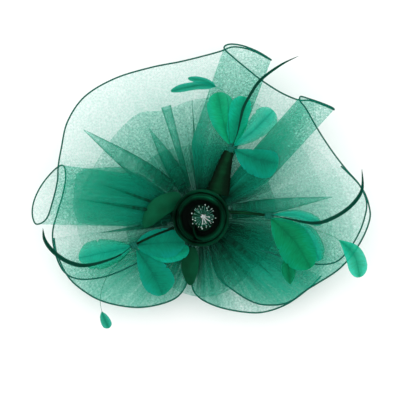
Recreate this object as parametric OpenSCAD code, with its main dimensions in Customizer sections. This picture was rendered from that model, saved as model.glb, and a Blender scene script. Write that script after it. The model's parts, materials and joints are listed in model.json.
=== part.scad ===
// Crinoline fascinator headpiece with a rolled satin flower, feathers and a hair clip.
// Frame: +Z away from the head along the flower's axis, +Y towards the top curl.
// Origin: centre of the underside of the felt backing.

/* [Base] */
// Radius of the felt backing
felt_r = 28; // [26:0.5:29]
// Thickness of the felt backing
felt_t = 1.5; // [1:0.1:1.5]
// Radius of the stiff base disc
disc_r = 27; // [25:0.5:27]
// Thickness of the stiff base disc
disc_t = 2; // [1.5:0.1:2]

/* [Crinoline] */
// Thickness of a crinoline layer
mesh_t = 0.5; // [0.4:0.1:0.6]
// Radius at which the layers are gathered and sewn down
rim_r = 22; // [20:0.5:24]
// Height of the brim above the felt at its gathered rim
brim_z = 12.4; // [12:0.1:13]
// Rise of the brim per millimetre outwards
brim_slope = 0.075; // [0.07:0.005:0.1]
// Height of the brim's folds, as a share of the lifts listed below
fold_height = 0.85; // [0.7:0.05:0.9]
// Radius of the cord sewn along a corded edge
cord_r = 0.6; // [0.4:0.1:0.8]

/* [Flower] */
// Radius of the outer petal's rim
flower_r = 29.5; // [28:0.5:31]
// Height of the flower above the felt
flower_top = 38; // [36:0.5:42]
// Wall of a satin petal
petal_t = 1.1; // [0.8:0.1:1.4]
// Number of stamens
stamen_count = 26; // [12:1:30]
// Radius of the stamen head
stamen_r = 13; // [10:0.5:14]

/* [Feathers] */
// Half thickness of a feather at its quill
quill_r = 0.5; // [0.4:0.1:0.6]
// Radius of the binding around a bunch of quills
binding_r = 3.6; // [3.4:0.1:4]

/* [Clip] */
// Length of the jaw side of the clip, from the pin
jaw_l = 38; // [34:1:40]
// Thickness of the clip's sheet steel
clip_t = 0.8; // [0.6:0.1:0.8]
// Half width of the upper arm
upper_w = 4.8; // [4.8:0.1:6]
// Half width of the lower arm
lower_w = 3.4; // [3:0.1:3.4]
// Radius of the hinge pin
pin_r = 0.8; // [0.6:0.05:0.9]
// Running clearance around the pin
pin_gap = 0.05; // [0.02:0.01:0.1]

/* [Hidden] */
$fn = 48;

// Colours
sheer = [0.60, 0.83, 0.76];
dense = [0.20, 0.60, 0.48];
cord_green = [0.05, 0.33, 0.26];
plume = [0.06, 0.52, 0.38];
satin = [0.01, 0.16, 0.10];
steel = [0.75, 0.75, 0.77];

// Clip
hinge_x = 14;
hinge_z = -4.4;
ear_x = 3.2;
arm_gap = 0.4;
lever_l = 12;
plate_z = -7.2;

// Crinoline layers: height at the gathered rim and rise per millimetre
lobe_layer = [4.4, -0.045];
right_layer = [5.8, -0.02];
outer_middle_layer = [7.2, 0];
middle_layer = [8.6, 0.03];
ruffle_layer = [10, 0.03];
roll_layer = [11.2, 0.045];
spike_layer = [11.8, 0.062];
brim_layer = [brim_z, brim_slope];
fold_ref_r = 160; // radius at which a point's lift applies in full
fold_rim = 0.35; // share of the lift left at the gathered rim
fold_power = 0.8; // how soon the lift builds up from the rim
tube_r = 75; // inside this radius the folds run straight to the rim

// Where the brim's folds point: angle at the edge, angle at tube_r
fold_angles = [[-30, -30], [10, 6], [39, 28], [51, 54], [66, 62], [83, 99],
    [110, 118], [138, 136], [159, 145], [182.5, 187], [220, 220]];
no_folds = [[-100, -100], [260, 260]];

// Corded edges, clockwise as seen from above: x, y and lift above the layer
brim_edge = [[-45, -34, 0], [-68, -47, 0], [-94, -58, 1], [-120, -61, 3], [-136, -54, 4],
    [-145, -36, 3], [-148, -15, 1], [-143, 6, 0], [-138, 23, 0], [-135, 40, 0],
    [-137, 52, 3], [-145, 49, 9], [-158, 34, 11], [-166, 18, 12], [-168, 4, 13], [-164, -6, 17],
    [-154, -1, 24], [-148, 15, 26], [-143, 36, 25], [-142, 52, 22], [-139, 70, 15], [-133, 96, 8],
    [-116, 121, 4], [-86, 139, 7], [-50, 150, 9], [-20, 156, 5], [6, 162.5, 1],
    [20, 166.5, 0], [31, 170.5, 0], [43, 169.5, 0], [55, 165.3, 0], [65, 160, 1],
    [70, 157.5, 4], [64, 161.5, 9], [54, 167, 12], [40, 172, 13], [28, 173, 15], [23, 169, 20],
    [32, 160, 25], [44, 150, 26], [59, 138, 23], [76, 127, 15], [88, 121, 7],
    [98.5, 117.5, 2], [108, 117.3, 0], [117, 114.5, 0], [126, 111, 0],
    [132.5, 108, 3], [130, 110.5, 8], [119, 115, 11], [107, 119, 13], [99, 121, 17], [99, 116, 23],
    [105, 108, 26], [117, 87, 22], [131, 66, 14], [145, 48, 7], [158, 33, 3],
    [165, 16, 1], [163, 0, 0], [157, -16, 1], [147, -32, 3], [134, -44, 3],
    [114, -46, 1], [90, -41, 0], [60, -32, 0]];
right_lobe_edge = [[140, 52, 0], [160, 31, 0], [168, 12, 0], [168, -4, 1], [157, -28, 2], [138, -51, 1],
    [107, -71, 0], [88, -84, 0.5], [70, -87, 1.5], [52, -84, 2.5], [32, -72, 2], [18, -60, 1],
    [11, -44, 0], [7, -33, 0]];
lower_right_edge = [[120, -58, 0], [107, -71, 0], [86, -86, 0], [63, -94, 0.5], [43, -94, 1], [18, -89, 0.5],
    [-1, -80, 0], [-9, -68, 0], [-8, -50, 0]];
lower_left_edge = [[-9.5, -50, 0], [-16, -69, 0], [-27, -81, 0], [-49, -88, 0.5], [-71, -89, 1],
    [-99, -83, 1.5], [-120, -71, 1], [-134, -57, 0], [-144, -36, 0], [-147, -20, 0]];
// Uncorded edges
outer_middle_edge = [[88, 88, 0], [105, 75, 1], [120, 65, 0], [136, 45, 1], [146, 19, 0],
    [152, -4, 1], [151, -24, 0], [142, -44, 0.5]];
middle_edge = [[-108, -62, 0], [-118, -31, 0.5], [-124, -8, 0], [-122, 20, 0.5], [-105, 55, 0],
    [-86, 83, 0.6], [-63, 104, 0], [-36, 108, 0.6], [-8, 118, 0], [22, 120, 0.6], [52, 116, 0], [80, 96, 0.6],
    [105, 65, 0], [120, 34, 0.6], [130, 5, 0], [129, -30, 0.6], [118, -57, 0], [106, -72, 0]];
inner_ruffle_r = 76;
ruffle_waves = 13;
left_loop_edge = [[-66, -9, 0], [-108, -6, 0.4], [-122, -4, 0], [-127, 8, 0.5], [-127, 22, 0],
    [-126, 36, 0.5], [-121, 47, 0], [-106, 50, 0.4], [-76, 51, 0]];
// Pleats that stand out as narrow leaves: root, tip, half width
spikes = [[[-50, 44], [-117, 88], 9], [[-26, 48], [-52, 90], 7], [[-20, 52], [-29, 110], 6],
    [[-6, 58], [-9, 119], 2.5], [[50, 10], [131, 21], 8], [[-57, -9], [-102, -15], 4]];

// Feathers: points of the quill, half width, share of the length that is bare quill
top_root = [30, 70, 36];
right_root = [68, 2, 25];
left_root = [-67, -27, 25];
top_plumes = [
    [[[30, 71, 35.2], [22, 98, 40], [16, 125, 46]], 13, 0.05],
    [[[31, 71, 36.6], [36, 94, 42], [43, 121, 48]], 11, 0.05],
    [[[32, 71, 38], [52, 87, 44], [72, 107, 48]], 13, 0.05],
    [[[32, 69, 34], [54, 59, 36], [77, 54, 38]], 15, 0.08]];
right_plumes = [
    [[[69, 1, 25], [94, -24, 28], [109, -50, 31]], 17, 0.04],
    [[[70, 1, 23.6], [104, -13, 26], [118, -43, 28]], 9, 0.3],
    [[[70, 3, 27.4], [95, 3, 31], [120, -6, 33]], 5, 0.1],
    [[[69, 0, 22.2], [84, -36, 23], [89, -66, 24]], 7, 0.5]];
left_plumes = [
    [[[-66, -27, 26], [-42, -25, 24], [-16, -24, 22]], 15, 0.06],
    [[[-68, -28, 27.4], [-94, -34, 30], [-122, -40, 33]], 17, 0.06],
    [[[-66, -29, 22.4], [-50, -52, 20], [-38, -77, 18]], 15, 0.12],
    [[[-65, -28, 24.2], [-38, -37, 21.5], [-12, -30, 19.5]], 8, 0.3]];
top_curl = [[31, 71, 39.3], [40, 89, 48], [40, 100, 51], [48, 120, 56], [66, 143, 58], [86, 157, 58],
    [97, 161, 56]];
right_curl = [[70, 3, 28.8], [88, -1, 33], [113, -5, 36], [131, 0, 38], [149, 12, 40], [160, 28, 42],
    [160, 49, 44]];
left_curl = [[-69, -28, 28.8], [-85, -39, 34], [-113, -47, 38], [-131, -44, 42], [-146, -34, 48],
    [-155, -22, 54], [-157, -10, 58]];
top_drop = [[29, 72, 39.2], [27, 98, 50], [26, 120, 55], [15, 130, 57], [-2, 132, 57], [-30, 126, 56]];
right_drop = [[70, 0, 30.2], [100, -8, 36], [126, -16, 38], [140, -24, 39], [153, -38, 38], [158, -59, 36]];
left_drop = [[-68, -30, 21], [-92, -56, 22], [-100, -76, 21], [-99, -93, 18], [-92, -110, 14]];

// Basic curves
function cubic(a, b, c, d, t) = 0.5 * (2 * b + (c - a) * t + (2 * a - 5 * b + 4 * c - d) * t * t
    + (3 * b - a - 3 * c + d) * t * t * t);
function knot(p, i) = p[max(0, min(len(p) - 1, i))];
function smooth(p, n) = [for (i = [0 : len(p) - 2], k = [0 : n - 1])
    cubic(knot(p, i - 1), p[i], p[i + 1], knot(p, i + 2), k / n), p[len(p) - 1]];
function unit(v) = v / max(norm(v), 1e-6);
function along(p, t) = let (s = t * (len(p) - 1), i = min(len(p) - 2, floor(s)))
    cubic(knot(p, i - 1), p[i], p[i + 1], knot(p, i + 2), s - i);

// Closed solid around a grid of surface points, rows by columns
function grid_normal(g, i, j) = let (n = len(g) - 1, m = len(g[0]) - 1)
    unit(cross(g[min(n, i + 1)][j] - g[max(0, i - 1)][j], g[i][min(m, j + 1)] - g[i][max(0, j - 1)]));
module sheet(g, t) {
    n = len(g);
    m = len(g[0]);
    upper = [for (i = [0 : n - 1], j = [0 : m - 1]) g[i][j] + grid_normal(g, i, j) * t / 2];
    lower = [for (i = [0 : n - 1], j = [0 : m - 1]) g[i][j] - grid_normal(g, i, j) * t / 2];
    low = n * m;
    function at(i, j) = i * m + j;
    cells = [for (i = [0 : n - 2], j = [0 : m - 2]) [at(i, j), at(i + 1, j), at(i + 1, j + 1), at(i, j + 1)]];
    rim = concat([for (i = [0 : n - 2]) at(i, 0)], [for (j = [0 : m - 2]) at(n - 1, j)],
        [for (i = [n - 1 : -1 : 1]) at(i, m - 1)], [for (j = [m - 1 : -1 : 1]) at(0, j)]);
    polyhedron(concat(upper, lower), concat(
        [for (c = cells) [c[0], c[2], c[1]]], [for (c = cells) [c[0], c[3], c[2]]],
        [for (c = cells) [low + c[0], low + c[1], low + c[2]]],
        [for (c = cells) [low + c[0], low + c[2], low + c[3]]],
        [for (k = [0 : len(rim) - 1]) let (a = rim[k], b = rim[(k + 1) % len(rim)]) [a, b, low + b]],
        [for (k = [0 : len(rim) - 1]) let (a = rim[k], b = rim[(k + 1) % len(rim)]) [a, low + b, low + a]]));
}

// Closed solid round rings of points, and a tube of radius r along a path
function heading(p, i) = unit(p[min(len(p) - 1, i + 1)] - p[max(0, i - 1)]);
function side_frame(p, i) = let (d = heading(p, i), s = unit(cross(d, [0, 0, 1]))) [s, cross(s, d)];
module ringed(ring, rows, sides) {
    quads = [for (i = [0 : rows - 2], k = [0 : sides - 1]) let (q = (k + 1) % sides)
        [i * sides + k, i * sides + q, (i + 1) * sides + q, (i + 1) * sides + k]];
    polyhedron(ring, concat([for (q = quads) [q[0], q[1], q[2]]], [for (q = quads) [q[0], q[2], q[3]]],
        [[for (k = [sides - 1 : -1 : 0]) k]], [[for (k = [0 : sides - 1]) (rows - 1) * sides + k]]));
}
module tube(p, r, sides = 6) {
    ringed([for (i = [0 : len(p) - 1], k = [0 : sides - 1]) let (f = side_frame(p, i), a = 360 * k / sides)
        p[i] + r * (f[0] * cos(a) + f[1] * sin(a))], len(p), sides);
}

// A gathered crinoline layer: each edge point is joined to the rim by a run of points
function fold_share(r) = fold_rim
    + (1 - fold_rim) * pow(max(0, r - rim_r) / (fold_ref_r - rim_r), fold_power);
function layer_z(layer, r, lift) = layer[0] + layer[1] * (r - rim_r) + lift * fold_share(r);
// Angles run on past 180 degrees down the left side, to the gap between the two lower lobes
function polar(p) = let (a = atan2(p[1], p[0])) a < -100 ? a + 360 : a;
function fold_angle(edge_a, edge_r, r, folds) = let (inner = lookup(edge_a, folds),
    share = r <= tube_r ? 0 : (1 / tube_r - 1 / r) / (1 / tube_r - 1 / max(edge_r, tube_r + 1)))
    inner + (edge_a - inner) * share;
function layer_point(layer, edge, t, folds) = let (
    edge_r = norm([edge[0], edge[1]]), r = rim_r + (edge_r - rim_r) * t,
    a = fold_angle(polar(edge), edge_r, r, folds))
    [r * cos(a), r * sin(a), layer_z(layer, r, fold_height * edge[2])];
function layer_edge(layer, edges, n, folds) = [for (e = smooth(edges, n)) layer_point(layer, e, 1, folds)];
module gathered(layer, edges, n, rows, folds = no_folds) {
    sheet([for (e = smooth(edges, n)) [for (k = [0 : rows]) layer_point(layer, e, k / rows, folds)]], mesh_t);
}
module edge_cord(layer, edges, n, folds = no_folds) {
    color(cord_green) tube(layer_edge(layer, edges, n, folds), cord_r);
}

// Base
module felt_backing() {
    color(satin) cylinder(h = felt_t, r = felt_r);
}
module base_disc() {
    color(satin) translate([0, 0, felt_t]) cylinder(h = disc_t, r = disc_r);
}

// Clip
module ears(half_w, z_low, z_high) {
    for (s = [-1, 1])
        difference() {
            translate([hinge_x - ear_x, s > 0 ? half_w - clip_t : -half_w, z_low])
                cube([2 * ear_x, clip_t, z_high - z_low]);
            translate([hinge_x, s * half_w - 2, hinge_z]) rotate([-90, 0, 0])
                cylinder(h = 4, r = pin_r + pin_gap);
        }
}
module clip_upper_arm() {
    color(steel) union() {
        translate([hinge_x - jaw_l, -upper_w, -clip_t]) cube([jaw_l + lever_l, 2 * upper_w, clip_t]);
        ears(upper_w, hinge_z - 2.6, -clip_t);
    }
}
jaw_z = -clip_t - arm_gap;
jaw_end = hinge_x - 12;
lower_profile = [[hinge_x - jaw_l, jaw_z], [jaw_end, jaw_z], [hinge_x - 4, plate_z + clip_t],
    [hinge_x + 4, plate_z + clip_t], [hinge_x + lever_l, plate_z - 1.6],
    [hinge_x + lever_l, plate_z - 1.6 - clip_t], [hinge_x + 4, plate_z], [hinge_x - 4, plate_z],
    [jaw_end, jaw_z - clip_t], [hinge_x - jaw_l, jaw_z - clip_t]];
module clip_lower_arm() {
    color(steel) union() {
        translate([0, lower_w, 0]) rotate([90, 0, 0]) linear_extrude(2 * lower_w) polygon(lower_profile);
        ears(lower_w, plate_z + clip_t / 2, hinge_z + 1.8);
    }
}
module clip_pin() {
    head_t = 0.5;
    color(steel) translate([hinge_x, 0, hinge_z]) rotate([-90, 0, 0]) union() {
        translate([0, 0, -upper_w]) cylinder(h = 2 * upper_w, r = pin_r);
        for (s = [-1, 1])
            translate([0, 0, s > 0 ? upper_w : -upper_w - head_t]) cylinder(h = head_t, r = pin_r + 0.5);
    }
}
// Torsion spring round the pin, with a leg on each arm
module clip_spring() {
    coil_in = pin_r + 0.3;
    wire = 0.7;
    half_l = 2.3;
    leg_l = 7;
    color(steel) translate([hinge_x, 0, hinge_z]) rotate([-90, 0, 0]) union() {
        rotate_extrude() translate([coil_in, -half_l]) square([wire, 2 * half_l]);
        translate([-leg_l, -coil_in - wire, -half_l]) cube([leg_l, wire, wire]);
        translate([0, coil_in, half_l - wire]) cube([leg_l, wire, wire]);
    }
}

// Crinoline
module brim_mesh() {
    color(sheer) gathered(brim_layer, brim_edge, 3, 5, fold_angles);
}
module brim_edge_cord() {
    edge_cord(brim_layer, brim_edge, 3, fold_angles);
}
module right_lobe_mesh() {
    color(dense) gathered(right_layer, right_lobe_edge, 3, 4);
}
module right_lobe_cord() {
    edge_cord(right_layer, right_lobe_edge, 4);
}
module lower_right_lobe_mesh() {
    color(dense) gathered(lobe_layer, lower_right_edge, 3, 3);
}
module lower_right_lobe_cord() {
    edge_cord(lobe_layer, lower_right_edge, 4);
}
module lower_left_lobe_mesh() {
    color(dense) gathered(lobe_layer, lower_left_edge, 3, 3);
}
module lower_left_lobe_cord() {
    edge_cord(lobe_layer, lower_left_edge, 4);
}
module outer_middle_mesh() {
    color(sheer) gathered(outer_middle_layer, outer_middle_edge, 3, 3);
}
module middle_mesh() {
    color(sheer) gathered(middle_layer, middle_edge, 3, 3);
}
module inner_ruffle() {
    steps = 6 * ruffle_waves;
    ring = [for (i = [0 : steps - 2]) let (a = 206 - 360 * i / steps)
        [for (k = [0 : 3]) let (r = rim_r + (inner_ruffle_r - rim_r) * k / 3)
            [r * cos(a), r * sin(a), layer_z(ruffle_layer, r, 0.9 * cos(a * ruffle_waves))]]];
    color(dense) sheet(ring, mesh_t);
}
module left_inner_loop() {
    color(dense) gathered(roll_layer, left_loop_edge, 3, 4);
}
// Each spike is a narrow leaf of folded crinoline that widens to the middle and ends in a point
module pleat_spikes() {
    color(dense) for (s = spikes) {
        d = unit(s[1] - s[0]);
        side = [-d[1], d[0]];
        sheet([for (i = [0 : 6])
            let (t = i / 6, w = s[2] * pow(1 - 0.97 * t, 0.8) * (0.55 + 0.9 * t * (1 - t)))
            [for (k = [-1 : 1]) let (p = s[0] + (s[1] - s[0]) * t + side * w * k)
                [p[0], p[1], layer_z(spike_layer, norm(p), 0)]]], mesh_t);
    }
}
// Ring of stitching that gathers the layers on the base disc
module gathering_thread() {
    color(cord_green) translate([0, 0, felt_t + disc_t]) rotate_extrude()
        translate([rim_r - 2.6, 0]) square([1, brim_z + 3 - felt_t - disc_t]);
}

// Flower: each petal is a cup whose wall follows the same rolled profile
petal_foot_r = 9;
calyx_top = 18;
core_r = 7;
core_h = 3;
module petal(rim, foot_z, top, rim_roll) {
    outer = [[petal_foot_r, foot_z], [rim * 0.62, foot_z + 2.5], [rim * 0.86, foot_z + (top - foot_z) * 0.4],
        [rim * 0.97, foot_z + (top - foot_z) * 0.75], [rim - petal_t, top]];
    path = smooth(outer, 4);
    rotate_extrude() union() {
        polygon(concat(path, [for (i = [len(path) - 1 : -1 : 0]) path[i]
            + (i == 0 ? [0, petal_t] : let (d = unit(path[i] - path[i - 1])) petal_t * [-d[1], d[0]])]));
        translate(path[len(path) - 1] + [-petal_t / 2, 0]) circle(r = rim_roll);
    }
}
module flower_calyx() {
    color(satin) translate([0, 0, felt_t + disc_t]) cylinder(h = calyx_top - felt_t - disc_t, r = 13);
}
module flower_outer_petal() {
    color(satin) petal(flower_r, calyx_top, flower_top, 1.2);
}
module flower_middle_petal() {
    color(satin) petal(flower_r - 4, calyx_top + petal_t, flower_top - 1, 1);
}
module flower_inner_petal() {
    color(satin) petal(flower_r - 8.5, calyx_top + 2 * petal_t, flower_top - 5, 0.8);
}
module stamen_core() {
    color([0.85, 0.95, 0.88]) translate([0, 0, calyx_top]) cylinder(h = core_h, r = core_r);
}
// Stalks fan out from the core, turned by the golden angle so that none meet
module stamens() {
    stalk_r = 0.4;
    tip_r = 1.3;
    golden = 137.5;
    foot_z = calyx_top + core_h - 0.5;
    head_z = flower_top - 6;
    color([0.75, 0.9, 0.8]) for (i = [0 : stamen_count - 1]) {
        share = sqrt((i + 0.5) / stamen_count);
        out = stamen_r * share;
        foot = (core_r - 1) * share;
        lean = atan2(out - foot, head_z - foot_z);
        rotate([0, 0, golden * i]) translate([foot, 0, foot_z]) rotate([0, lean, 0])
            union() {
                cylinder(h = norm([out - foot, head_z - foot_z]), r = stalk_r, $fn = 6);
                translate([0, 0, norm([out - foot, head_z - foot_z])]) sphere(r = tip_r, $fn = 8);
            }
    }
}

// Leaves: a bent blade along three points
module blade(path, half_w, tip_power = 0.8) {
    rows = 8;
    spine = [for (i = [0 : rows]) along(path, i / rows)];
    sheet([for (i = [0 : rows]) let (t = i / rows, d = heading(spine, i), s = unit(cross(d, [0, 0, 1])),
        w = 0.5 + half_w * pow(sin(180 * (0.12 + 0.86 * t)), tip_power))
        [for (k = [-1 : 0.5 : 1]) spine[i] + s * w * k - [0, 0, 1.5 * k * k]]], petal_t);
}
module left_petal() {
    color(satin) blade([[-20, 21, 30], [-42, 10, 32.5], [-57, -9, 31.5]], 9);
}
module lower_petal() {
    color(satin) blade([[-10, -29, 17], [-11, -48, 16], [-10.5, -67, 14.5]], 7);
}
// Wrapped stem from the flower to a bunch of feathers, tapering from r0 to r1.
// flat is its height as a share of its width.
module wrapped_stem(path, r0, r1, flat = 1) {
    rows = 8;
    sides = 10;
    spine = [for (i = [0 : rows]) along(path, i / rows)];
    ring = [for (i = [0 : rows], k = [0 : sides - 1]) let (f = side_frame(spine, i), a = 360 * k / sides)
        spine[i] + (r0 + (r1 - r0) * i / rows) * (f[0] * cos(a) + flat * f[1] * sin(a))];
    color(satin) ringed(ring, rows + 1, sides);
}
module top_stem() {
    wrapped_stem([[17, 31.5, 31], [21.5, 48, 33], [28, 66.5, 36]], 9.5, 4.8, 0.4);
}
module right_stem() {
    wrapped_stem([[26.5, 6, 25], [46, 5, 25], [65, 3, 25]], 2, 1.2);
}
module left_stem() {
    wrapped_stem([[-25, -9, 27], [-46, -17, 29.5], [-64, -25.5, 28]], 1.2, 1.2);
}
module binding(root, toward) {
    d = unit([toward[0], toward[1], 0]);
    color(cord_green) translate(root - d * 4) rotate([0, 90, atan2(d[1], d[0])])
        cylinder(h = 8, r = binding_r);
}
module top_binding() {
    binding(top_root, [7, 20]);
}
module right_binding() {
    binding(right_root, [1, 0]);
}
module left_binding() {
    binding(left_root, [-1, -0.3]);
}

// Feather: lens-shaped cross section along its quill, widest past the middle
module feather(path, half_w, bare) {
    rows = 14;
    spine = [for (i = [0 : rows]) along(path, i / rows)];
    function half(t) = t <= bare ? quill_r
        : quill_r + half_w * pow(sin(180 * pow((t - bare) / (1 - bare), 1.3)), 0.75);
    rings = [for (i = [0 : rows]) let (d = heading(spine, i), s = unit(cross(d, [0, 0, 1])), u = cross(s, d),
        w = half(i / rows))
        [spine[i] + s * w - u * 0.04 * w, spine[i] + u * quill_r, spine[i] - s * w - u * 0.04 * w,
            spine[i] - u * (quill_r + 0.04 * w)]];
    color(plume) ringed([for (r = rings) each r], rows + 1, 4);
}
module plume_of(p) {
    feather(p[0], p[1], p[2]);
}
module top_feather_1() {
    plume_of(top_plumes[0]);
}
module top_feather_2() {
    plume_of(top_plumes[1]);
}
module top_feather_3() {
    plume_of(top_plumes[2]);
}
module top_feather_4() {
    plume_of(top_plumes[3]);
}
module top_curved_feather() {
    feather(top_curl, 1.3, 0.2);
}
module top_drop_feather() {
    feather(top_drop, 8, 0.55);
}
module right_feather_1() {
    plume_of(right_plumes[0]);
}
module right_feather_2() {
    plume_of(right_plumes[1]);
}
module right_feather_3() {
    plume_of(right_plumes[2]);
}
module right_feather_4() {
    plume_of(right_plumes[3]);
}
module right_curved_feather() {
    feather(right_curl, 1.8, 0.2);
}
module right_drop_feather() {
    feather(right_drop, 9, 0.5);
}
module left_feather_1() {
    plume_of(left_plumes[0]);
}
module left_feather_2() {
    plume_of(left_plumes[1]);
}
module left_feather_3() {
    plume_of(left_plumes[2]);
}
module left_feather_4() {
    plume_of(left_plumes[3]);
}
module left_curved_feather() {
    feather(left_curl, 2.2, 0.2);
}
module left_drop_feather() {
    feather(left_drop, 5, 0.7);
}

felt_backing();
base_disc();
clip_upper_arm();
clip_lower_arm();
clip_pin();
clip_spring();
brim_mesh();
brim_edge_cord();
right_lobe_mesh();
right_lobe_cord();
lower_right_lobe_mesh();
lower_right_lobe_cord();
lower_left_lobe_mesh();
lower_left_lobe_cord();
outer_middle_mesh();
middle_mesh();
inner_ruffle();
left_inner_loop();
pleat_spikes();
gathering_thread();
flower_calyx();
flower_outer_petal();
flower_middle_petal();
flower_inner_petal();
stamen_core();
stamens();
left_petal();
lower_petal();
top_stem();
right_stem();
left_stem();
top_binding();
right_binding();
left_binding();
top_feather_1();
top_feather_2();
top_feather_3();
top_feather_4();
top_curved_feather();
top_drop_feather();
right_feather_1();
right_feather_2();
right_feather_3();
right_feather_4();
right_curved_feather();
right_drop_feather();
left_feather_1();
left_feather_2();
left_feather_3();
left_feather_4();
left_curved_feather();
left_drop_feather();
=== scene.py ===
"""Looks for the crinoline fascinator: sheer gathered layers, satin flower, feathers and clip."""

import json
import math

import bpy
import numpy as np
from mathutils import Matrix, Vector


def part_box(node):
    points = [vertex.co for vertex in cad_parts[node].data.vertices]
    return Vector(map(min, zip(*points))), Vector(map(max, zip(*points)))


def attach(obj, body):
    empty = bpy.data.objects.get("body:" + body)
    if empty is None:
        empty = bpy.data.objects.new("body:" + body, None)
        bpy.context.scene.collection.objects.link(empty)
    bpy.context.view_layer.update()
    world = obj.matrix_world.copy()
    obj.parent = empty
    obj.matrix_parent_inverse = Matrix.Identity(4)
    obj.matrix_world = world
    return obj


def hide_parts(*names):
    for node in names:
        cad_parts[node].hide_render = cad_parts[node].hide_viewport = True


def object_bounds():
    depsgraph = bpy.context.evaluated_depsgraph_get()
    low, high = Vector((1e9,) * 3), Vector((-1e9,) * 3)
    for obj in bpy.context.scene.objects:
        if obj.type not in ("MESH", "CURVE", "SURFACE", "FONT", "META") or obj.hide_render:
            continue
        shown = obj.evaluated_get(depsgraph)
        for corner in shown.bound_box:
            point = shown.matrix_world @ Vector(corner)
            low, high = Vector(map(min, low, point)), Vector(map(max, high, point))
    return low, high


MM = 0.001
UP = np.array([0.0, 0.0, 1.0])
FULL_TURN = 2 * math.pi
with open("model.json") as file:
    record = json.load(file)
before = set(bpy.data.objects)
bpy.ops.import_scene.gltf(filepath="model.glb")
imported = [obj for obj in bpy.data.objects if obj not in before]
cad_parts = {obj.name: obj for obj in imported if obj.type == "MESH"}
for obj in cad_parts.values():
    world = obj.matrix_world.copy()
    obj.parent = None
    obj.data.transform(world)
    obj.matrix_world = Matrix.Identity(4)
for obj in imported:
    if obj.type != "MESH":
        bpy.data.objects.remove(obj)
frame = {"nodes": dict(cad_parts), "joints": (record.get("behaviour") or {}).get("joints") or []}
cad_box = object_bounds()

# ---------------- curves and grids


def cubic(a, b, c, d, t):
    """A smooth curve from b at t = 0 to c at t = 1, with a and d as the points beyond them."""
    return 0.5 * (2 * b + (c - a) * t + (2 * a - 5 * b + 4 * c - d) * t**2 + (3 * b - a - 3 * c + d) * t**3)


def along(points, where):
    """Points on the smooth curve through `points`, at shares 0 to 1 of its control points."""
    p = np.array(points, float)
    where = np.atleast_1d(where) * (len(p) - 1)
    i = np.minimum(where.astype(int), len(p) - 2)
    pad = np.vstack([p[:1], p, p[-1:]])
    return cubic(pad[i], pad[i + 1], pad[i + 2], pad[i + 3], (where - i)[:, None])


def smooth(points, steps):
    """The same curve, sampled `steps` times between each pair of control points."""
    return along(points, np.linspace(0, 1, (len(points) - 1) * steps + 1))


def unit(v):
    return v / np.maximum(np.linalg.norm(v, axis=-1, keepdims=True), 1e-9)


def run_length(p):
    """Distance along a run of points, from its first."""
    return np.concatenate([[0], np.cumsum(np.linalg.norm(np.diff(p, axis=0), axis=1))])


def normals(grid):
    return unit(np.cross(np.gradient(grid, axis=0), np.gradient(grid, axis=1)))


def across(spine):
    """Unit directions at each point of a run: level to its side, and up from it."""
    ahead = unit(np.gradient(spine, axis=0))
    side = unit(np.cross(ahead, UP))
    return side, np.cross(side, ahead)


def beside(path, side, up, wide, high):
    """A grid of points: each row lies these distances to the side of one point of the path and above it."""
    return path[:, None] + side[:, None] * wide[..., None] + up[:, None] * high[..., None]


def corners(node):
    """A CAD node's lowest and highest corners."""
    return [np.array(c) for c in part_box(node)]


# ---------------- meshes


def make_mesh(name, verts, faces, uvs=None, values=None):
    """A smooth-shaded mesh object. uvs are per vertex; values are named per-vertex attributes."""
    mesh = bpy.data.meshes.new(name)
    mesh.from_pydata([tuple(v) for v in verts], [], [tuple(int(k) for k in f) for f in faces])
    if uvs is not None:
        layer = mesh.uv_layers.new(name="UVMap")
        order = np.zeros(len(mesh.loops), int)
        mesh.loops.foreach_get("vertex_index", order)
        layer.data.foreach_set("uv", np.asarray(uvs, float)[order].ravel())
    for key, numbers in (values or {}).items():
        attribute = mesh.attributes.new(key, "FLOAT", "POINT")
        attribute.data.foreach_set("value", np.asarray(numbers, float).ravel())
    mesh.polygons.foreach_set("use_smooth", [True] * len(mesh.polygons))
    mesh.update()
    obj = bpy.data.objects.new(name, mesh)
    bpy.context.scene.collection.objects.link(obj)
    return obj


def grid_faces(rows, cols, closed=False):
    """Quads of a grid of rows by cols points. A closed grid joins its last column to its first."""
    faces = []
    for i in range(rows - 1):
        for j in range(cols if closed else cols - 1):
            k = (j + 1) % cols
            faces.append((i * cols + j, (i + 1) * cols + j, (i + 1) * cols + k, i * cols + k))
    return faces


def tube_faces(rows, sides):
    """Quads round a tube's rings, and its two end caps."""
    first = tuple(range(sides))
    last = tuple((rows - 1) * sides + k for k in reversed(first))
    return grid_faces(rows, sides, closed=True) + [first, last]


def grid_object(name, grid, uv, values=None):
    return make_mesh(name, grid.reshape(-1, 3), grid_faces(*grid.shape[:2]), uv.reshape(-1, 2), values)


def thicken(obj, thickness):
    modifier = obj.modifiers.new("thickness", "SOLIDIFY")
    modifier.thickness = thickness


class Pile:
    """Collects small meshes that become one object."""

    def __init__(self):
        self.verts, self.faces, self.uvs, self.values, self.count = [], [], [], {}, 0

    def add(self, verts, faces, uvs=None, **values):
        verts = np.asarray(verts, float).reshape(-1, 3)
        self.verts.append(verts)
        self.faces += [tuple(self.count + k for k in f) for f in faces]
        self.uvs.append(np.zeros((len(verts), 2)) if uvs is None else np.asarray(uvs, float).reshape(-1, 2))
        for key, number in values.items():
            self.values.setdefault(key, []).append(np.broadcast_to(number, len(verts)))
        self.count += len(verts)

    def build(self, name):
        return make_mesh(name, np.vstack(self.verts), self.faces, np.vstack(self.uvs),
                         {k: np.concatenate(v) for k, v in self.values.items()})


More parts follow.
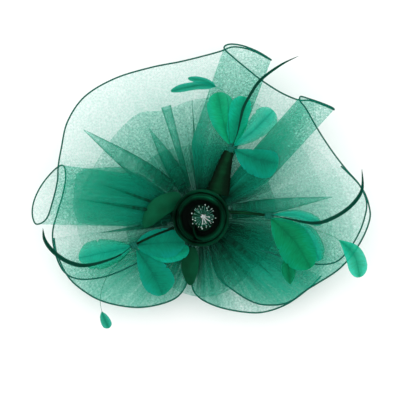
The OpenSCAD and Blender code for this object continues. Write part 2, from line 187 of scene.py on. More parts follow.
def sweep(path, radius, sides):
    """Rings of points round a path, with a radius for each point of it, and their faces and UVs."""
    path = np.asarray(path, float)
    radius = np.broadcast_to(radius, len(path))[:, None]
    ahead = unit(np.gradient(path, axis=0))
    side = np.zeros_like(path)
    last = unit(np.cross(ahead[0], UP) + 1e-6)
    for i, d in enumerate(ahead):
        last = unit(last - d * np.dot(last, d))
        side[i] = last
    up = np.cross(side, ahead)
    angle = np.linspace(0, FULL_TURN, sides, endpoint=False)
    ring = beside(path, side, up, radius * np.cos(angle), radius * np.sin(angle))
    u, v = np.meshgrid(run_length(path), angle / FULL_TURN, indexing="ij")
    return ring.reshape(-1, 3), tube_faces(len(path), sides), np.stack([u, v], -1).reshape(-1, 2)


def tube(name, path, radius, sides=10):
    return make_mesh(name, *sweep(path, radius, sides))


# ---------------- materials


class Nodes:
    """Short names for building a material's nodes."""

    def __init__(self, name):
        self.material = bpy.data.materials.new(name)
        self.material.use_nodes = True
        self.tree = self.material.node_tree
        self.tree.nodes.clear()
        self.out = self.tree.nodes.new("ShaderNodeOutputMaterial")

    def new(self, kind, **settings):
        node = self.tree.nodes.new("ShaderNode" + kind)
        for key, value in settings.items():
            if hasattr(node, key) and key not in node.inputs:
                setattr(node, key, value)
            else:
                self.put(node.inputs[key], value)
        return node

    def put(self, socket, value):
        if isinstance(value, bpy.types.NodeSocket):
            self.tree.links.new(value, socket)
        else:
            socket.default_value = value

    def math(self, operation, a, b=0.0, c=0.0, clamp=False):
        node = self.new("Math", operation=operation)
        node.use_clamp = clamp
        for socket, value in zip(node.inputs, (a, b, c)):
            self.put(socket, value)
        return node.outputs[0]

    def add(self, a, b, clamp=False):
        return self.math("ADD", a, b, clamp=clamp)

    def mul(self, a, b):
        return self.math("MULTIPLY", a, b)

    def madd(self, value, gain, offset, clamp=False):
        return self.math("MULTIPLY_ADD", value, gain, offset, clamp)

    def zigzag(self, value, period):
        """Runs up and down between 0 and 0.5, once in each period."""
        return self.math("PINGPONG", self.math("DIVIDE", value, period), 0.5)

    def attribute(self, name):
        return self.new("Attribute", attribute_name=name).outputs["Fac"]

    def uv(self):
        split = self.new("SeparateXYZ")
        self.put(split.inputs[0], self.new("UVMap").outputs[0])
        return split.outputs[0], split.outputs[1]

    def noise(self, scale, detail=3.0, vector=None, stretch=None):
        """Cloudy noise from 0 to 1. It lies in the object's space unless a vector is given."""
        coord = vector or self.new("TexCoord").outputs["Object"]
        if stretch:
            mapping = self.new("Mapping")
            self.put(mapping.inputs["Vector"], coord)
            mapping.inputs["Scale"].default_value = stretch
            coord = mapping.outputs[0]
        node = self.new("TexNoise")
        self.put(node.inputs["Vector"], coord)
        node.inputs["Scale"].default_value = scale
        node.inputs["Detail"].default_value = detail
        return node.outputs["Fac"]

    def ramp(self, value, *stops):
        """A colour that follows value through stops of (place, colour)."""
        node = self.new("ValToRGB")
        elements = node.color_ramp.elements
        while len(elements) < len(stops):
            elements.new(0.5)
        for element, (place, color) in zip(elements, stops):
            element.position = place
            element.color = (*color, 1)
        self.put(node.inputs[0], value)
        return node.outputs[0]

    def bump(self, height, distance, strength=1.0):
        node = self.new("Bump")
        self.put(node.inputs["Height"], height)
        node.inputs["Distance"].default_value = distance
        node.inputs["Strength"].default_value = strength
        return node.outputs[0]

    def principled(self, color, roughness, **more):
        node = self.new("BsdfPrincipled")
        self.put(node.inputs["Base Color"], color if not isinstance(color, tuple) else (*color, 1))
        self.put(node.inputs["Roughness"], roughness)
        for key, value in more.items():
            self.put(node.inputs[key.replace("_", " ")], value)
        return node.outputs[0]

    def shader(self, kind, color):
        return self.new(kind, Color=color).outputs[0]

    def mix(self, share, first, second):
        """Two shaders blended, with this share of the second."""
        node = self.new("MixShader")
        for socket, value in zip(node.inputs, (share, first, second)):
            self.put(socket, value)
        return node.outputs[0]

    def finish(self, shader):
        self.tree.links.new(shader, self.out.inputs["Surface"])
        return self.material


def shades(color, factor):
    return tuple(factor * c for c in color)


SHEER = (0.897, 0.966, 0.953)  # light that one plain layer of crinoline lets through
THREAD = np.array([0.004, 0.35, 0.225])  # colour of its nylon threads
BODY_SHARE = 0.12  # how much of a plain layer is thread and not gap
WEAVE_PITCH = 1.15 * MM
BROAD_FOLDS = 100.0  # noise scales, across the gathers
DARK_LINES = 60.0
FINE_PLEATS = 430.0
PATCHES = 24.0  # noise scale of slow changes in density
STREAK_STRETCH = 0.04  # how slowly a streak changes along its length
GRAIN = 3.2  # how strongly the net's grain shows where it isn't gathered
GRAIN_SCALE = 560.0
GRAIN_LIMIT = 2.6  # density past which the grain gets no stronger
THINNEST_FOLD = 0.25  # least share of its density that folds leave
THINNEST_NET = 0.15  # least density that the grain leaves
GLOW = 0.4  # share of the light on the threads that goes through them


def crin_material(name):
    """Woven nylon net. "net" says how many plain layers it is as dark as, and "tight" how gathered it is;
    the gathered folds also get painted shade in the threads' colour.
    """
    n = Nodes(name)
    u, v = n.uv()
    net, tight = n.attribute("net"), n.attribute("tight")
    loose = n.math("SUBTRACT", 1.0, tight)

    def swing(value, size):
        return n.mul(n.math("SUBTRACT", value, 0.5), size)

    def streaks(scale):
        run = n.new("CombineXYZ", X=u, Y=n.mul(v, STREAK_STRETCH)).outputs[0]
        return n.noise(scale, 2.0, vector=run)

    def threads(sign):
        return n.zigzag(n.madd(v, sign, u), WEAVE_PITCH * math.sqrt(2))

    fold = swing(streaks(BROAD_FOLDS), 1.0)
    line = n.madd(streaks(DARK_LINES), 12.0, -7.0, clamp=True)
    fine = n.noise(GRAIN_SCALE, 1.0)
    near_thread = n.math("MAXIMUM", threads(1.0), threads(-1.0))

    # How dense the net is at this point
    vary = n.add(1.0, swing(n.noise(PATCHES), 0.5))
    vary = n.add(vary, swing(streaks(FINE_PLEATS), n.madd(tight, 3.0, 0.3)))
    vary = n.add(vary, n.mul(fold, n.madd(tight, 4.5, 0.35)))
    vary = n.add(vary, n.mul(line, tight))
    speck = n.mul(swing(fine, GRAIN), n.math("MINIMUM", net, GRAIN_LIMIT))
    dense = n.mul(net, n.math("MAXIMUM", vary, THINNEST_FOLD))
    dense = n.math("MAXIMUM", n.add(dense, n.mul(speck, loose)), THINNEST_NET)
    weave = n.math("POWER", n.mul(near_thread, 2.0), 3.0)
    dense = n.mul(dense, n.madd(weave, 1.1, 0.5))

    # The gaps tint what is behind them, and the threads are painted darker in the gathers' folds and dark
    # lines: painted shade
    red, green, blue = (n.math("POWER", share, dense) for share in SHEER)
    tint = n.new("CombineColor", Red=red, Green=green, Blue=blue).outputs[0]
    depth = n.madd(n.mul(fold, tight), 1.6, tight)
    depth = n.madd(n.mul(line, n.math("MINIMUM", tight, 0.5)), 0.6, depth)
    depth = n.add(depth, n.mul(swing(fine, 0.7), loose))
    hue = n.ramp(depth, (0.0, tuple(THREAD * 1.2)), (0.18, tuple(THREAD)),
                 (0.4, tuple(THREAD * (0.5, 0.62, 0.6))),
                 (0.6, tuple(THREAD * (0.2, 0.34, 0.30))),
                 (0.92, tuple(THREAD * (0.05, 0.07, 0.06))))
    body = n.principled(hue, 0.5, Specular_IOR_Level=0.06, Normal=n.bump(near_thread, 0.12 * MM, 0.6))
    thread = n.mix(GLOW, body, n.shader("BsdfTranslucent", hue))
    covered = n.math("SUBTRACT", 1.0, n.math("POWER", 1 - BODY_SHARE, dense))
    return n.finish(n.mix(covered, n.shader("BsdfTransparent", tint), thread))


CORD_TWIST = 2.2 * MM


def cord_material(name, dark, light):
    """Twisted cord or thread: strands that wind round it, in two shades."""
    n = Nodes(name)
    u, v = n.uv()
    wind = n.math("PINGPONG", n.add(n.math("DIVIDE", u, CORD_TWIST), n.mul(v, 2.0)), 0.5)
    hue = n.ramp(n.add(wind, n.mul(n.noise(300.0), 0.3)), (0.1, dark), (0.6, light))
    return n.finish(n.principled(hue, 0.5, Specular_IOR_Level=0.04, Normal=n.bump(wind, 0.25 * MM)))


BARB_PITCH = 0.7 * MM
BARB_SCALE = 700.0
VANE_GLOW = 0.3
VANE_TINT = (0.25, 0.80, 0.64, 1)  # light that a vane's thin rim lets through


def feather_material(name, green, teal, clear):
    """Dyed vane: greener by the quill, bluer at the rim, with fine barbs. clear is how thin the rim is."""
    n = Nodes(name)
    u, v = n.uv()
    barb = n.zigzag(u, BARB_PITCH)
    blotch = n.noise(45.0)
    fine = n.noise(BARB_SCALE, 2.0, vector=n.new("CombineXYZ", X=u, Y=n.mul(v, 0.004)).outputs[0])
    place = n.add(n.mul(v, 0.55), n.madd(blotch, 0.7, -0.2))
    place = n.add(place, n.madd(fine, 0.7, -0.35), clamp=True)
    hue = n.ramp(place, (0.05, shades(green, 0.62)), (0.45, green), (0.95, teal))
    body = n.principled(hue, 0.6, Specular_IOR_Level=0.05, Sheen_Weight=0.02, Sheen_Roughness=0.4,
                        Normal=n.bump(barb, 0.06 * MM))
    soft = n.mix(VANE_GLOW, body, n.shader("BsdfTranslucent", hue))
    solid = n.madd(n.math("POWER", v, 1.5), -clear, 1.0 - 0.25 * clear)
    return n.finish(n.mix(solid, n.shader("BsdfTransparent", VANE_TINT), soft))


WEFT_PITCH = 0.35 * MM


def satin_material(name, deep, bright, painted_light=False):
    """Satin ribbon: fine weft lines and soft creases, with painted shade in the crease hollows and a painted
    sheen on their crests. It can also take colour from the "depth" attribute, which holds painted light and
    shade.
    """
    n = Nodes(name)
    u, v = n.uv()
    weft = n.zigzag(v, WEFT_PITCH)
    crease = n.noise(40.0, 4.0, stretch=(1.0, 1.0, 0.35))
    # Painted shade and sheen: the colour follows the crease height, and where asked the painted light and
    # shade in "depth"
    shade = n.mul(crease, n.attribute("depth")) if painted_light else crease
    # Past the bright stop the colour rises to four times as bright: painted light
    hue = n.ramp(shade, (0.3, deep), (0.65, bright), (1.0, shades(bright, 4)))
    height = n.add(n.mul(weft, 0.08), crease)
    return n.finish(n.principled(hue, 0.38, Specular_IOR_Level=0.03, Normal=n.bump(height, 1.2 * MM, 0.6)))


def felt_material(name, color):
    n = Nodes(name)
    fuzz = n.noise(900.0, 6.0)
    hue = n.ramp(fuzz, (0.3, shades(color, 0.6)), (0.7, shades(color, 1.4)))
    return n.finish(n.principled(hue, 0.95, Specular_IOR_Level=0.2, Sheen_Weight=0.25,
                                 Normal=n.bump(fuzz, 0.5 * MM)))


def steel_material(name, color, brushed=1.0):
    """Steel with a grain along x. brushed is how much the grain roughens it."""
    n = Nodes(name)
    grain = n.noise(60.0, 6.0, stretch=(1.0, 40.0, 40.0))
    rough = n.madd(grain, 0.25 * brushed, 0.2)
    hue = n.ramp(n.noise(120.0), (0.3, shades(color, 0.85)), (0.7, color))
    return n.finish(n.principled(hue, rough, Metallic=1.0, Normal=n.bump(grain, 0.02 * MM)))


def stamen_material(name, low, high, roughness):
    """Glitter in two colours. "own" says how far each bead or stalk leans towards the second."""
    n = Nodes(name)
    cell = n.new("TexVoronoi", Scale=2200.0)
    n.put(cell.inputs["Vector"], n.new("TexCoord").outputs["Object"])
    pick = n.new("SeparateColor")
    n.put(pick.inputs[0], cell.outputs["Color"])
    own = n.mul(n.attribute("own"), 0.6)
    hue = n.ramp(n.madd(pick.outputs[0], 0.5, own), (0.25, low), (0.75, high))
    return n.finish(n.principled(hue, roughness, Specular_IOR_Level=0.6,
                                 Normal=n.bump(cell.outputs["Distance"], 0.2 * MM)))


def floor_material():
    n = Nodes("floor_paper")
    hue = n.ramp(n.noise(3.0), (0.3, (0.93, 0.93, 0.93)), (0.7, (0.95, 0.95, 0.95)))
    return n.finish(n.principled(hue, 0.9, Specular_IOR_Level=0.1))


def dress(obj, material):
    obj.data.materials.clear()
    obj.data.materials.append(material)


def keep(obj, material, body="headpiece", stands_for=None):
    """Gives a new piece its material and body, and hides the CAD node that it stands for."""
    dress(obj, material)
    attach(obj, body)
    if stands_for:
        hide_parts(stands_for)
    return obj


# ---------------- camera, light and floor

VIEW_WIDTH = 0.400
VIEW_SHIFT = np.array([-1.6, -13.8]) * MM  # from the object's middle to the view's
CAMERA_FAR = 8.0  # far off, for the flat perspective of a product shot
SENSOR = 36.0
WORLD_STRENGTH = 1.12
LIGHTS = {"key": ((-0.3, 0.5, 1.2), 1.2, 3.8), "fill": ((0.9, -0.2, 1.2), 1.4, 1.7)}  # place, size, watts
FLOOR_HALF = 2.5  # metres
FLOOR_DROP = 20 * MM  # room for the clip's lever to swing open
MANY_LAYERS = 64  # sheer surfaces that a ray may pass, for net that lies over net
low, high = (np.array(c) for c in cad_box)


def place_camera():
    data = bpy.data.cameras.new("camera")
    data.sensor_width = SENSOR
    data.lens = SENSOR * CAMERA_FAR / VIEW_WIDTH
    data.clip_end = 2.5 * CAMERA_FAR
    camera = bpy.data.objects.new("camera", data)
    camera.location = (*((low + high)[:2] / 2 + VIEW_SHIFT), CAMERA_FAR)
    bpy.context.scene.collection.objects.link(camera)
    bpy.context.scene.camera = camera


def area_light(name, place, size, power):
    """A square light that points at the origin."""
    data = bpy.data.lights.new(name, "AREA")
    data.size = size
    data.energy = power
    light = bpy.data.objects.new(name, data)
    light.location = place
    light.rotation_euler = (-Vector(place)).to_track_quat("-Z", "Y").to_euler()
    bpy.context.scene.collection.objects.link(light)


def light_stage():
    world = bpy.data.worlds.new("studio")
    world.use_nodes = True
    background = world.node_tree.nodes["Background"]
    background.inputs["Color"].default_value = (1, 1, 1, 1)
    background.inputs["Strength"].default_value = WORLD_STRENGTH
    scene = bpy.context.scene
    scene.world = world
    scene.view_settings.view_transform = "Standard"
    scene.cycles.transparent_max_bounces = MANY_LAYERS
    for name, (place, size, power) in LIGHTS.items():
        area_light(name, place, size, power)
    z = low[2] - FLOOR_DROP
    square = [(-1, -1), (1, -1), (1, 1), (-1, 1)]
    floor = make_mesh("floor", [(FLOOR_HALF * x, FLOOR_HALF * y, z) for x, y in square], [(0, 1, 2, 3)])
    dress(floor, floor_material())


place_camera()
light_stage()

# ---------------- base and clip

CLIP_STEEL = steel_material("clip_steel", (0.62, 0.62, 0.64))
SPRING_STEEL = steel_material("spring_steel", (0.5, 0.5, 0.52), 0.3)


def build_base():
    dress(frame["nodes"]["felt_backing"], felt_material("felt", (0.012, 0.10, 0.06)))
    dress(frame["nodes"]["base_disc"], felt_material("buckram", (0.02, 0.16, 0.10)))
    for name in ("clip_upper_arm", "clip_lower_arm", "clip_pin"):
        dress(frame["nodes"][name], CLIP_STEEL)


SPRING_WIRE_R = 0.33 * MM
SPRING_LEG = 6.5 * MM
SPRING_TURNS = 6
COIL_STEPS = 24  # points to a turn
LEG_DROOP = 0.7 * MM  # how far down the moving leg's end is


def build_spring():
    """Torsion spring: the coil and its fixed leg stay, and the other leg goes with the lever."""
    hinge = np.array(frame["joints"][0]["pos_m"])
    least, most = corners("clip_spring")
    _, half_length, radius = (most - least) / 2 - SPRING_WIRE_R
    angle = np.linspace(0, FULL_TURN * SPRING_TURNS, SPRING_TURNS * COIL_STEPS)
    along_pin = np.linspace(-half_length, half_length, len(angle))
    coil = hinge + np.stack([radius * np.sin(angle), along_pin, radius * np.cos(angle)], -1)
    fixed_leg = np.array([[-t * SPRING_LEG, 0, 0] for t in np.linspace(1, 0.05, 8)])
    keep(tube("spring_coil", np.vstack([coil[:1] + fixed_leg, coil]), SPRING_WIRE_R), SPRING_STEEL,
         stands_for="clip_spring")
    foot = hinge + np.array([0, half_length, -radius])
    moving_leg = np.array([[t * SPRING_LEG, 0, -t * LEG_DROOP] for t in np.linspace(0.03, 1, 8)])
    keep(tube("spring_leg", foot + moving_leg, SPRING_WIRE_R), SPRING_STEEL,
         body="clip_lever")


build_base()
build_spring()

# ---------------- crinoline layers

RIM_R = 22.0  # radius of the gathered rim, in millimetres, as are all lengths until a piece is built
FOLD_REF_R = 160.0  # radius at which a fold has its full lift
FOLD_RIM = 0.35  # share of a fold's lift that is left at the rim
FOLD_POWER = 0.8
FOLD_HEIGHT = 0.85  # share of the lifts below that the net takes
BEND_R = 75.0  # radius past which a fold's rays bend from their angle at the rim to that at the edge
FOLD_ANGLES = [(-30, -30), (10, 6), (39, 28), (51, 54), (66, 62), (83, 99), (110, 118), (138, 136),
               (159, 145), (182.5, 187), (220, 220)]  # at the edge and at the rim, in degrees
WRAP_BELOW = -100  # edge angles below this count on past 180, so that the lower left follows the left
PLEAT_REACH = 55.0  # how far out the small pleats go
PLEAT_START = 8.0  # how soon they rise past the rim
PLEAT_LEFT = 0.12  # share of their depth that is left at the edge
PLEAT_WAVES = ((1.0, 0.6), (1.7, 0.3), (0.45, 0.5))  # how frequent and how deep
ANY_PHASE = (0, 6.3)
TIGHT_REACH = 42.0  # how far out from the rim the gathers stay tight
LEAST_EDGE_R, LEAST_NET_R = 40.0, 55.0  # crowding takes the edge and the net to be at least this far out
CROWD = 0.8  # how fast the net crowds towards the rim
FOLD_CROWD = 0.7  # how much faster it crowds where the edge is denser than PLAIN_NET
PLAIN_NET = 1.1
CORD_R = 0.8
LAYER_ROWS = 30
# Height at the gathered rim and rise per millimetre outwards
LOBE = (4.4, -0.045)
RIGHT = (5.8, -0.02)
OUTER_MIDDLE = (7.2, 0.0)
MIDDLE = (8.6, 0.03)
RUFFLE = (10.0, 0.03)
ROLL = (11.2, 0.045)
SPIKE = (11.8, 0.062)
BRIM = (12.4, 0.075)
# Edges, clockwise from above: x, y, lift above the layer, density of the net there
BRIM_EDGE = [
    (-45, -34, 0, 1), (-68, -47, 0, 1), (-94, -58, 1, 1), (-120, -61, 3, 1), (-136, -54, 4, 1),
    (-145, -36, 3, 1), (-148, -15, 1, 1), (-143, 6, 0, 2.8), (-138, 23, 0, 3.2), (-135, 40, 0, 3.2),
    (-137, 52, 3, 2), (-145, 49, 9, 1.5), (-158, 34, 11, 1), (-166, 18, 12, 0.8), (-168, 4, 13, 1),
    (-164, -6, 17, 1.3), (-154, -1, 24, 1.8), (-148, 15, 26, 3.1), (-143, 36, 25, 3.1),
    (-142, 52, 22, 1.8), (-139, 70, 15, 1), (-133, 96, 8, 1), (-116, 121, 4, 1), (-86, 139, 7, 1),
    (-50, 150, 9, 1), (-20, 156, 5, 1), (6, 162.5, 1, 1), (20, 166.5, 0, 1.2), (31, 170.5, 0, 1.4),
    (43, 169.5, 0, 1.5), (55, 165.3, 0, 1.6), (65, 160, 1, 1.8), (70, 157.5, 4, 2), (64, 161.5, 9, 1.8),
    (54, 167, 12, 1.3), (40, 172, 13, 1.3), (28, 173, 15, 1.4), (23, 169, 20, 2), (32, 160, 25, 1.8),
    (44, 150, 26, 1.6), (59, 138, 23, 1.4), (76, 127, 15, 1), (88, 121, 7, 1), (98.5, 117.5, 2, 1.5),
    (108, 117.3, 0, 2), (117, 114.5, 0, 2.1), (126, 111, 0, 2), (132.5, 108, 3, 2), (130, 110.5, 8, 1.8),
    (119, 115, 11, 2.2), (107, 119, 13, 2.9), (99, 121, 17, 3), (99, 116, 23, 3.2), (105, 108, 26, 3),
    (117, 87, 22, 1.5), (131, 66, 14, 1), (145, 48, 7, 1), (158, 33, 3, 1), (165, 16, 1, 1),
    (163, 0, 0, 1), (157, -16, 1, 1), (147, -32, 3, 1), (134, -44, 3, 1), (114, -46, 1, 1),
    (90, -41, 0, 1), (60, -32, 0, 1)]
RIGHT_LOBE_EDGE = [
    (140, 52, 0, 0.4), (160, 31, 0, 0.6), (168, 12, 0, 0.8), (168, -4, 1, 1), (157, -28, 2, 2),
    (138, -51, 1, 5), (107, -71, 0, 9), (88, -84, 0.5, 8.5), (70, -87, 1.5, 7), (52, -84, 2.5, 6.5),
    (32, -72, 2, 6), (18, -60, 1, 5), (11, -44, 0, 5), (7, -33, 0, 5)]
LOWER_RIGHT_EDGE = [
    (120, -58, 0, 1.9), (107, -71, 0, 1.9), (86, -86, 0, 1.9), (63, -94, 0.5, 2), (43, -94, 1, 2.3),
    (18, -89, 0.5, 5.1), (-1, -80, 0, 6.4), (-9, -68, 0, 6.4), (-8, -50, 0, 6.4)]
LOWER_LEFT_EDGE = [
    (-9.5, -50, 0, 6.5), (-16, -69, 0, 6.5), (-27, -81, 0, 6.5), (-49, -88, 0.5, 6.5), (-71, -89, 1, 5.9),
    (-99, -83, 1.5, 5.4), (-120, -71, 1, 5.2), (-134, -57, 0, 3.8), (-144, -36, 0, 0.9),
    (-147, -20, 0, 0.7)]
OUTER_MIDDLE_EDGE = [
    (88, 88, 0, 0.5), (105, 75, 1, 0.6), (120, 65, 0, 0.6), (136, 45, 1, 0.6), (146, 19, 0, 0.6),
    (152, -4, 1, 0.6), (151, -24, 0, 0.6), (142, -44, 0.5, 0.6)]
MIDDLE_EDGE = [
    (-108, -62, 0, 0.77), (-118, -31, 0.5, 0.77), (-124, -8, 0, 1.02), (-122, 20, 0.5, 1.36),
    (-105, 55, 0, 1.87), (-86, 83, 0.6, 2.21), (-63, 104, 0, 2.38), (-36, 108, 0.6, 2.38),
    (-8, 118, 0, 2.38), (22, 120, 0.6, 1.87), (52, 116, 0, 1.36), (80, 96, 0.6, 1.19), (105, 65, 0, 0.94),
    (120, 34, 0.6, 0.77), (130, 5, 0, 0.68), (129, -30, 0.6, 0.85), (118, -57, 0, 1.36),
    (106, -72, 0, 1.53)]
LEFT_LOOP_EDGE = [
    (-66, -9, 0, 5.9), (-108, -6, 0.4, 4.5), (-122, -4, 0, 3.9), (-127, 8, 0.5, 3.4), (-127, 22, 0, 3.4),
    (-126, 36, 0.5, 3.4), (-121, 47, 0, 3.9), (-106, 50, 0.4, 4.5), (-76, 51, 0, 5.9)]
# Where it leaves the gathers, tip, half width, how blunt the end is, and lift above the layer
SPIKES = [
    ((-50, 44), (-117, 88), 19, 0, 0), ((-26, 48), (-52, 90), 13, 0, 0),
    ((-19, 50), (-35, 111.5), 5, 1, 0), ((-6, 58), (-9, 119), 2.5, 0, 0), ((50, 10), (131, 21), 14, 0, 0),
    ((-57, -9), (-102, -15), 4, 0, 0), ((-65, 10), (-121, 19), 3.2, 0, 30),
    ((-65, 21), (-104, 36), 2.6, 0, 30), ((50, -12), (76, -30), 3, 0, 0), ((36, -26), (72, -58), 4, 0, 0),
    ((22, -34), (44, -66), 3, 0, 0)]
SPIKE_ROOT = 0.6  # a spike's root is hidden under the flower, this share of the way out
WIDE_SPIKE = 5  # half width from which a spike is paler along its middle
SPIKE_RIDGE = 1.4
SPIKE_ROWS, SPIKE_COLS = 40, 13
RUFFLE_R = 76.0
RUFFLE_WAVES = 13
RUFFLE_TURN = (206, -151)  # degrees: its ends nearly meet at the lower left
RUFFLE_COLS, RUFFLE_ROWS = 576, 25
RUFFLE_CROWD = 1.8
RUFFLE_NET = 3


def layer_z(layer, r, lift):
    share = FOLD_RIM + (1 - FOLD_RIM) * (np.maximum(0, r - RIM_R) / (FOLD_REF_R - RIM_R)) ** FOLD_POWER
    return layer[0] + layer[1] * (r - RIM_R) + lift * share


def layer_grid(layer, edge, steps, folds):
    """Points from the gathered rim out to the edge's curve, and the net's density at each."""
    e = smooth(edge, steps)
    edge_r = np.hypot(e[:, 0], e[:, 1])[:, None]
    edge_a = np.degrees(np.arctan2(e[:, 1], e[:, 0]))[:, None]
    edge_a = np.where(edge_a < WRAP_BELOW, edge_a + 360, edge_a)
    r = RIM_R + (edge_r - RIM_R) * np.linspace(0, 1, LAYER_ROWS + 1)[None, :]
    rim_a = np.interp(edge_a, *zip(*FOLD_ANGLES)) if folds else edge_a
    bent = 1 / BEND_R - 1 / np.maximum(r, BEND_R)
    bend = 1 / BEND_R - 1 / np.maximum(edge_r, BEND_R + 1)
    a = np.radians(rim_a + (edge_a - rim_a) * (bent / bend))
    grid = np.stack([r * np.cos(a), r * np.sin(a), layer_z(layer, r, FOLD_HEIGHT * e[:, 2:3])], -1)
    return grid, e[:, 3:4] * np.ones_like(r)


def gather(grid, pleats, depth, seed):
    """Presses small pleats into a layer: they run out from the rim and fade towards the edge."""
    r = np.hypot(grid[..., 0], grid[..., 1])
    metres = run_length(grid[:, grid.shape[1] // 2])[:, None] / 1000
    draw = np.random.default_rng(seed)
    wave = sum(np.sin(FULL_TURN * pleats * often * metres + draw.uniform(*ANY_PHASE)) * deep
               for often, deep in PLEAT_WAVES)
    rise = 1 - np.exp(-(r - RIM_R + PLEAT_START / 2) / PLEAT_START)
    fade = np.exp(-((r - RIM_R) / PLEAT_REACH) ** 2) * rise + PLEAT_LEFT
    return grid + normals(grid) * (depth * wave * fade)[..., None]


def layer_uv(grid):
    """u runs round the layer and v out from its rim, in metres."""
    u = run_length(grid[:, (2 * grid.shape[1]) // 3])[:, None] * np.ones(grid.shape[1])
    v = np.cumsum(np.linalg.norm(np.diff(grid, axis=1, prepend=grid[:, :1]), axis=2), axis=1)
    return np.stack([u, v], -1) * MM


def crowded(grid, density, power):
    """Net is darker and more streaked where it is gathered, towards the rim: denser, and with more painted
    shade in its folds.
    """
    r = np.hypot(grid[..., 0], grid[..., 1])
    closer = np.maximum(r[:, -1:], LEAST_EDGE_R) / np.maximum(r, LEAST_NET_R)
    return {"net": density * closer ** power, "tight": np.exp(-(r - RIM_R) / TIGHT_REACH)}


CRIN = {slot: crin_material(slot) for slot in ("sheer_crin", "dense_crin")}
CORD = cord_material("edge_cord", (0.002, 0.055, 0.038), (0.008, 0.13, 0.09))


def crin_layer(name, node, layer, edge, slot, seed, folds=False, steps=16, pleats=90, depth=0.35,
               cord=None):
    """One layer of gathered net. cord names the piece on its edge, and the CAD cord it stands for."""
    grid, density = layer_grid(layer, edge, steps, folds)
    grid = gather(grid, pleats, depth, seed)
    power = CROWD + FOLD_CROWD * np.clip(density - PLAIN_NET, 0, 1)
    obj = grid_object(name, grid * MM, layer_uv(grid), crowded(grid, density, power))
    keep(obj, CRIN[slot], stands_for=node)
    if cord:
        rim = tube(cord[0], grid[:, -1] * MM, CORD_R * MM, 8)
        keep(rim, CORD, stands_for=cord[1])


def build_crinoline():
    crin_layer("brim", "brim_mesh", BRIM, BRIM_EDGE, "sheer_crin", 3, folds=True, steps=8, pleats=80,
               cord=("brim_cord", "brim_edge_cord"))
    crin_layer("right_lobe", "right_lobe_mesh", RIGHT, RIGHT_LOBE_EDGE, "dense_crin", 4, pleats=110,
               depth=0.5, cord=("right_lobe_edge", "right_lobe_cord"))
    crin_layer("lower_right_lobe", "lower_right_lobe_mesh", LOBE, LOWER_RIGHT_EDGE, "dense_crin", 5,
               pleats=110, depth=0.3, cord=("lower_right_edge", "lower_right_lobe_cord"))
    crin_layer("lower_left_lobe", "lower_left_lobe_mesh", LOBE, LOWER_LEFT_EDGE, "dense_crin", 6,
               pleats=110, depth=0.3, cord=("lower_left_edge", "lower_left_lobe_cord"))
    crin_layer("outer_middle_layer", "outer_middle_mesh", OUTER_MIDDLE, OUTER_MIDDLE_EDGE, "sheer_crin", 7)
    crin_layer("middle_layer", "middle_mesh", MIDDLE, MIDDLE_EDGE, "sheer_crin", 8)
    crin_layer("left_inner_roll", "left_inner_loop", ROLL, LEFT_LOOP_EDGE, "dense_crin", 9, depth=0.3)


def build_ruffle():
    """The short ruffle round the flower: a scalloped ring."""
    angle = np.radians(np.linspace(*RUFFLE_TURN, RUFFLE_COLS))[:, None]
    out = np.linspace(0, 1, RUFFLE_ROWS)[None, :]
    scallop = 1 + 0.02 * (np.cos(5 * angle + 1) + np.sin(3 * angle)) * out ** 2
    r = (RIM_R + (RUFFLE_R - RIM_R) * out) * scallop
    z = layer_z(RUFFLE, r, 0.9 * np.cos(angle * RUFFLE_WAVES))
    grid = gather(np.stack([r * np.cos(angle), r * np.sin(angle), z], -1), 160, 0.5, 12)
    values = crowded(grid, RUFFLE_NET * np.ones_like(r), RUFFLE_CROWD)
    obj = grid_object("inner_ruffle_net", grid * MM, layer_uv(grid), values)
    keep(obj, CRIN["dense_crin"], stands_for="inner_ruffle")


def build_spikes():
    """Pleats of net pinched to a point. The folded sides are darker than the middle: denser net, and painted
    shade.
    """
    pile = Pile()
    t = np.linspace(0, 1, SPIKE_ROWS)[:, None]
    k = np.linspace(-1, 1, SPIKE_COLS)[None, :]
    pointed = (1 - 0.985 * t) ** 0.75 * (0.5 + 1.1 * t * (1 - t))
    for root, tip, half, blunt, lift in SPIKES:
        root = np.array(root, float) * SPIKE_ROOT
        ahead = unit(tip - root)
        side = np.array([-ahead[1], ahead[0]])
        width = half * (blunt * (0.35 + 0.65 * t) + (1 - blunt) * pointed)
        xy = root + (tip - root) * t[..., None] + side * (width * k)[..., None]
        ridge = SPIKE_RIDGE * (1 - k**2) * (1 - t) ** 0.5
        z = layer_z(SPIKE, np.hypot(xy[..., 0], xy[..., 1]), lift) + ridge
        grid = np.concatenate([xy, z[..., None]], -1)
        folded = np.maximum(np.abs(k) ** 4, 0.8 if half < WIDE_SPIKE else 0)
        density = 4 + 8 * folded + 5 * (1 - t) ** 2
        # Painted shade: the higher tight at the folded sides and the root darkens the threads' colour there
        tight = 0.12 + 0.4 * folded + 0.5 * (1 - t) ** 2
        pile.add(grid * MM, grid_faces(SPIKE_ROWS, SPIKE_COLS), layer_uv(grid),
                 net=density.ravel(), tight=tight.ravel())
    keep(pile.build("pinched_pleats"), CRIN["dense_crin"], stands_for="pleat_spikes")


STITCHES = 40
STITCH_R = 0.3 * MM
STITCH_SHARE = 0.8  # of the way to the next stitch


def build_stitches():
    """Running stitches that hold the gathers, in a ring round the calyx."""
    least, most = corners("gathering_thread")
    radius = most[0] - 0.4 * MM
    pile = Pile()
    t = np.linspace(0, 1, 7)
    for i in range(STITCHES):
        a = FULL_TURN * i / STITCHES + t * FULL_TURN / STITCHES * STITCH_SHARE
        dip = 0.1 + 0.8 * np.abs(t * 2 - 1) ** 1.5
        z = least[2] + (most[2] - least[2]) * dip
        pile.add(*sweep(np.stack([radius * np.cos(a), radius * np.sin(a), z], -1), STITCH_R, 6))
    keep(pile.build("gathering_stitches"), CORD, stands_for="gathering_thread")


